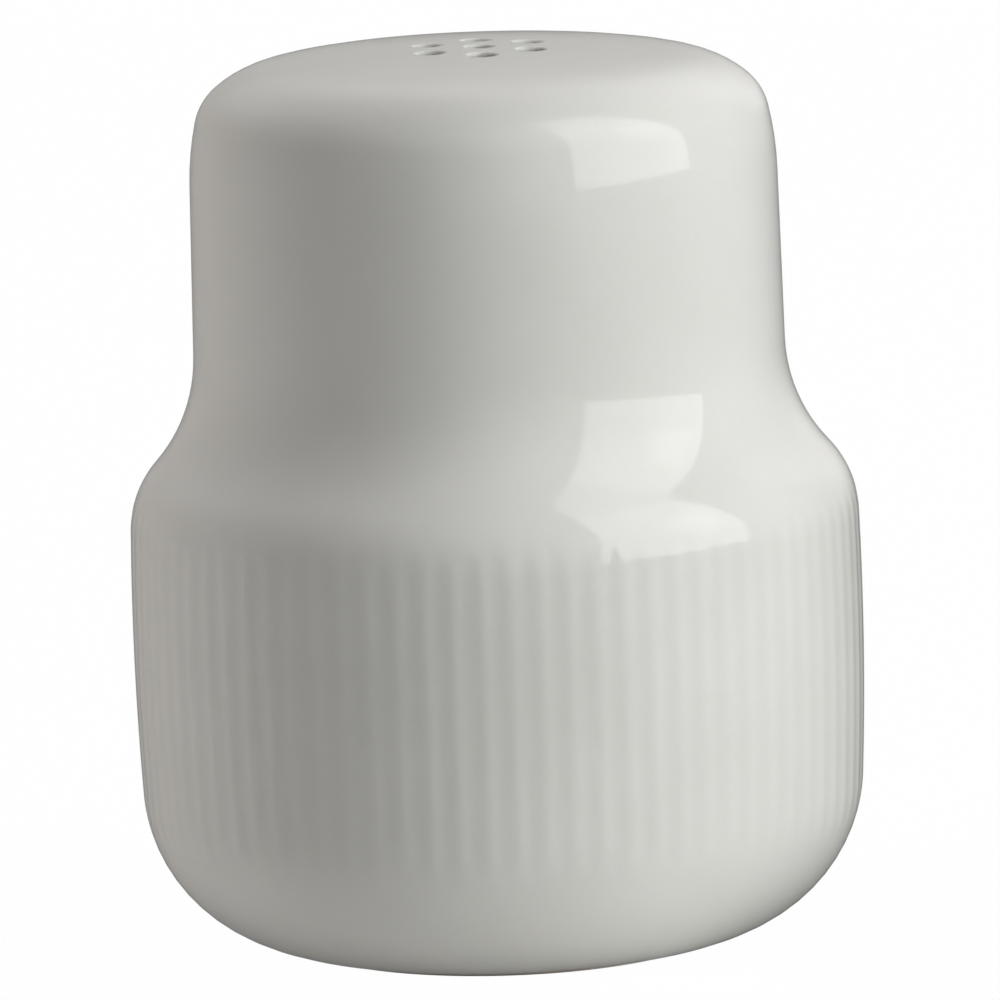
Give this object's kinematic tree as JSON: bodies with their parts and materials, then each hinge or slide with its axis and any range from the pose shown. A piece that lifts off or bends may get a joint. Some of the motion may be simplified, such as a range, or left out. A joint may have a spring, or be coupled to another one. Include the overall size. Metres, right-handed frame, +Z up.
{
  "type": "salt shaker",
  "caption": "Glazed porcelain salt shaker with a smooth domed neck, a finely ribbed lower wall, pour holes in the crown and a soft stopper that pulls out of the base for filling.",
  "frame": {"origin": "centre of the foot ring, on the plane that the shaker stands on", "axes": "+Z up along the axis of the shaker, from the foot to the crown; the form is round, so X and Y are free"},
  "size_m": [0.052, 0.052, 0.064],
  "materials": {
    "glazed_porcelain": "glossy white glaze, bare porcelain under the foot ring",
    "soft_stopper": "satin moulded rubber"
  },
  "bodies": {
    "shaker": {"porcelain_body": "glazed_porcelain"},
    "stopper": {"base_stopper": "soft_stopper"}
  },
  "joints": [
    {"name": "stopper_pull", "type": "slide", "parent": "shaker", "child": "stopper", "axis": [0, 0, -1], "range_m": [0, 0.04]}
  ]
}
